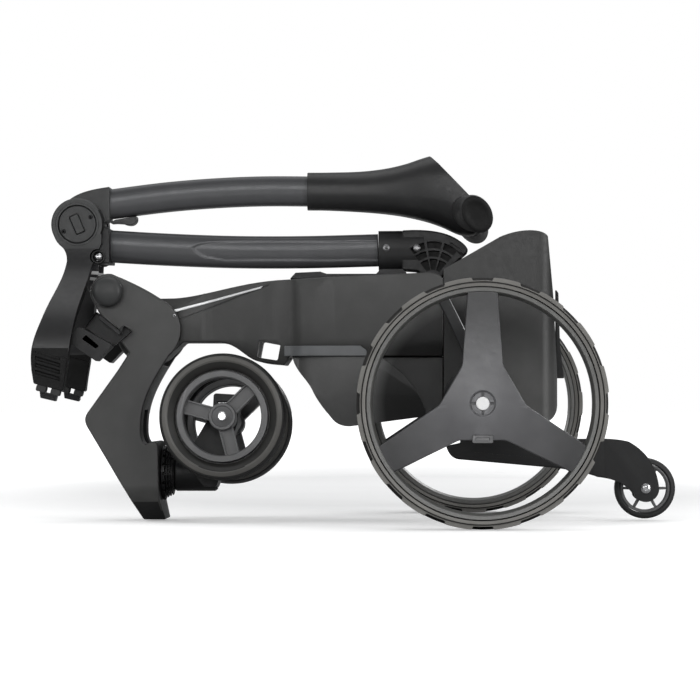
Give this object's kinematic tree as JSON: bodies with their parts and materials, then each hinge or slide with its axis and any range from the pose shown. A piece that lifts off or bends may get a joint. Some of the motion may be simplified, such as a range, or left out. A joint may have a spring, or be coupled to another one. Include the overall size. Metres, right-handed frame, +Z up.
{
  "type": "electric golf trolley",
  "caption": "Folding electric golf trolley, shown folded: jointed shaft with handle, folding front leg with castor, three-spoke drive wheels and an anti-tip wheel.",
  "frame": {"origin": "on the floor, under the middle of the folded trolley's length and width", "axes": "+X from the nose to the tail, +Y across, +Z up"},
  "size_m": [0.7994, 0.596, 0.4595],
  "materials": {
    "shell": "satin moulded plastic, charcoal",
    "shell_light": "satin moulded plastic, grey",
    "black_plastic": "fine-grained black moulded plastic",
    "tube": "satin graphite anodised aluminium",
    "bright_trim": "bright silver trim",
    "steel": "bright plated steel",
    "wheel": "satin graphite moulded plastic",
    "wheel_light": "satin grey moulded plastic",
    "tyre": "warm grey rubber tread",
    "rubber": "soft matt rubber",
    "strap": "woven elastic webbing",
    "screen": "glossy display cover"
  },
  "bodies": {
    "root": {"main_shell": "shell", "lower_tub": "shell", "rear_housing": "shell", "rear_spine": "black_plastic", "battery": "black_plastic", "battery_handle": "black_plastic", "axle_housing": "black_plastic", "antitip_arm": "black_plastic", "antitip_bolt": "steel", "main_hinge_pin": "steel", "leg_pivot_pin": "steel", "neck_trim_near": "bright_trim", "neck_trim_far": "bright_trim", "side_rail_near": "shell_light", "side_rail_far": "shell_light", "drive_unit_near": "black_plastic", "drive_unit_far": "black_plastic", "drive_strut_near": "black_plastic", "drive_strut_far": "black_plastic"},
    "lower_shaft": {"lower_tube": "tube", "hinge_socket": "black_plastic", "mid_joint_lower": "black_plastic", "mid_joint_pin": "black_plastic", "frame_lock_pin": "steel", "bag_strap": "strap", "bag_arm_near": "black_plastic", "bag_arm_far": "black_plastic", "arm_cradle_near": "rubber", "arm_cradle_far": "rubber"},
    "upper_shaft": {"upper_tube": "tube", "mid_joint_upper": "black_plastic", "handle_head": "black_plastic", "console": "screen", "grip_near": "rubber", "grip_far": "rubber"},
    "dial": {"speed_dial": "rubber"},
    "power": {"power_button": "bright_trim"},
    "latch": {"latch_lever": "black_plastic"},
    "leg": {"front_leg": "shell", "nose_collar": "black_plastic", "leg_knob_near": "black_plastic", "leg_knob_far": "black_plastic", "lower_bag_support_near": "black_plastic", "lower_bag_support_far": "black_plastic"},
    "castor": {"castor_fork": "black_plastic", "castor_axle": "steel"},
    "lock": {"swivel_lock": "bright_trim"},
    "front_wheel_near": {"front_tyre_near": "tyre", "front_rim_near": "wheel_light"},
    "front_wheel_far": {"front_tyre_far": "tyre", "front_rim_far": "wheel_light"},
    "rear_wheel_near": {"rear_tyre_near": "tyre", "rear_rim_near": "wheel"},
    "rear_wheel_far": {"rear_tyre_far": "tyre", "rear_rim_far": "wheel"},
    "release_near": {"release_button_near": "wheel"},
    "release_far": {"release_button_far": "wheel"},
    "antitip_wheel": {"antitip_rim": "wheel_light", "antitip_tyre": "rubber"}
  },
  "joints": [
    {"name": "main_fold", "type": "hinge", "parent": "root", "child": "lower_shaft", "pos_m": [0.0932, 0, 0.304], "axis": [0, 1, 0], "range_deg": [0, 120]},
    {"name": "handle_fold", "type": "hinge", "parent": "lower_shaft", "child": "upper_shaft", "pos_m": [-0.3548, 0, 0.374], "axis": [0, 1, 0], "range_deg": [-170, 0]},
    {"name": "leg_fold", "type": "hinge", "parent": "root", "child": "leg", "pos_m": [-0.2648, 0, 0.24], "axis": [0, 1, 0], "range_deg": [0, 95]},
    {"name": "castor_swivel", "type": "hinge", "parent": "leg", "child": "castor", "pos_m": [-0.2098, 0, 0.06], "axis": [1, 0, 0], "range_deg": [-4, 10]},
    {"name": "front_wheel_near_spin", "type": "hinge", "parent": "castor", "child": "front_wheel_near", "pos_m": [-0.1678, 0.00351, 0.12691], "axis": [0, 0.9986, -0.0523], "continuous": true},
    {"name": "front_wheel_far_spin", "type": "hinge", "parent": "castor", "child": "front_wheel_far", "pos_m": [-0.1678, 0.00351, 0.12691], "axis": [0, 0.9986, -0.0523], "continuous": true},
    {"name": "swivel_lock_slide", "type": "slide", "parent": "castor", "child": "lock", "axis": [1, 0, 0], "range_m": [-0.0015, 0.0015]},
    {"name": "rear_wheel_near_spin", "type": "hinge", "parent": "root", "child": "rear_wheel_near", "pos_m": [0.1502, -0.27, 0.148], "axis": [0, 1, 0], "continuous": true},
    {"name": "rear_wheel_far_spin", "type": "hinge", "parent": "root", "child": "rear_wheel_far", "pos_m": [0.1502, 0.27, 0.148], "axis": [0, 1, 0], "continuous": true},
    {"name": "release_near_press", "type": "slide", "parent": "rear_wheel_near", "child": "release_near", "axis": [0, 1, 0], "range_m": [0, 0.004]},
    {"name": "release_far_press", "type": "slide", "parent": "rear_wheel_far", "child": "release_far", "axis": [0, -1, 0], "range_m": [0, 0.004]},
    {"name": "antitip_wheel_spin", "type": "hinge", "parent": "root", "child": "antitip_wheel", "pos_m": [0.3612, 0, 0.041], "axis": [0, 1, 0], "continuous": true},
    {"name": "speed_dial_turn", "type": "hinge", "parent": "upper_shaft", "child": "dial", "pos_m": [0.12141, 0, 0.42749], "axis": [0.7234, 0, 0.6905], "continuous": true},
    {"name": "power_press", "type": "slide", "parent": "upper_shaft", "child": "power", "axis": [-0.7234, 0, -0.6905], "range_m": [0, 0.0015]},
    {"name": "latch_swing", "type": "hinge", "parent": "upper_shaft", "child": "latch", "pos_m": [-0.3088, 0, 0.3795], "axis": [0, 1, 0], "range_deg": [0, 10]}
  ],
  "couplings": [
    {"joint": "handle_fold", "follows": "main_fold", "ratio": -1.4166},
    {"joint": "leg_fold", "follows": "main_fold", "ratio": 0.7916}
  ]
}
